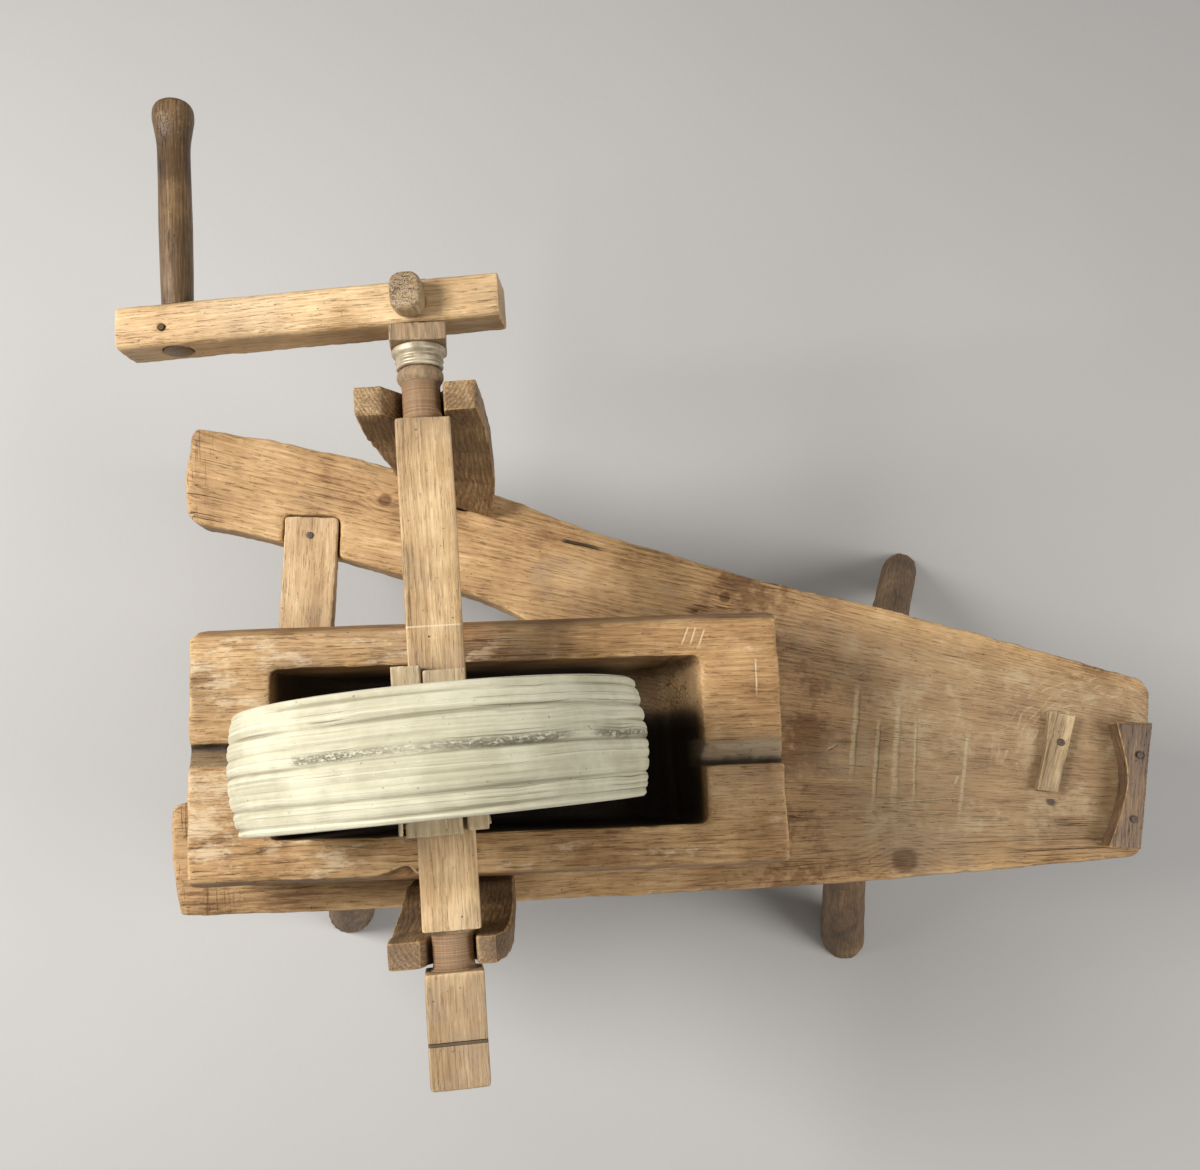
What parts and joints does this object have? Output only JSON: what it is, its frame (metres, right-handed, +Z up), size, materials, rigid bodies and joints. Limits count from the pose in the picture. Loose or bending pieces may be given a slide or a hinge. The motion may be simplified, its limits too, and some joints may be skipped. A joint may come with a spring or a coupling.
{
  "type": "hand-cranked grindstone",
  "caption": "Hand-cranked grindstone: a ribbed sandstone wheel wedged on a square wooden axle in forked posts, over a dug-out water trough on a low forked bench with splayed legs.",
  "frame": {"origin": "middle of the base of the whole object's box, on the floor under the feet", "axes": "+X along the bench towards the seat, +Y along the axle towards the crank, +Z up"},
  "size_m": [1.2304, 1.0666, 0.9047],
  "materials": {
    "slab_wood": "weathered, worn by sitting",
    "trough_wood": "weathered, rough hewn",
    "post_wood": "weathered",
    "leg_wood": "dark, weathered",
    "pale_wood": "plain, raw",
    "axle_wood": "open grain, raw",
    "crank_wood": "planed, handled smooth",
    "handled_wood": "polished by hands",
    "sandstone": "matt, worn in ribs",
    "pale_metal": "dull, tarnished",
    "nail_iron": "rusty"
  },
  "bodies": {
    "bench": {"bench_slab": "slab_wood", "leg_seat_crank_side": "leg_wood", "leg_seat_free_side": "leg_wood", "leg_fork_free_side": "leg_wood", "leg_fork_crank_side": "leg_wood", "cross_brace": "pale_wood", "brace_nail_crank_side": "nail_iron", "brace_nail_free_side": "nail_iron", "trough": "trough_wood", "crank_side_post": "post_wood", "free_side_post": "post_wood", "crank_post_wedge": "pale_wood", "free_post_wedge": "pale_wood", "end_cleat": "leg_wood", "end_cleat_nail_1": "nail_iron", "end_cleat_nail_2": "nail_iron", "small_cleat": "pale_wood", "small_cleat_nail": "nail_iron", "seat_nail": "nail_iron"},
    "rotor": {"axle": "axle_wood", "neck_ferrule": "pale_metal", "grindstone": "sandstone", "wedge_crank_top_left": "pale_wood", "wedge_crank_top_right": "pale_wood", "wedge_crank_left": "pale_wood", "wedge_crank_bottom": "pale_wood", "wedge_crank_right": "pale_wood", "wedge_free_top_left": "pale_wood", "wedge_free_top_right": "pale_wood", "wedge_free_shim": "pale_wood", "wedge_free_left": "pale_wood", "wedge_free_bottom": "pale_wood", "wedge_free_right": "pale_wood", "crank_arm": "crank_wood", "crank_key": "handled_wood", "crank_handle": "handled_wood", "handle_pin": "leg_wood"}
  },
  "joints": [
    {"name": "axle_spin", "type": "hinge", "parent": "bench", "child": "rotor", "pos_m": [-0.24079, -0.20287, 0.7], "axis": [0, 1, 0], "continuous": true}
  ]
}
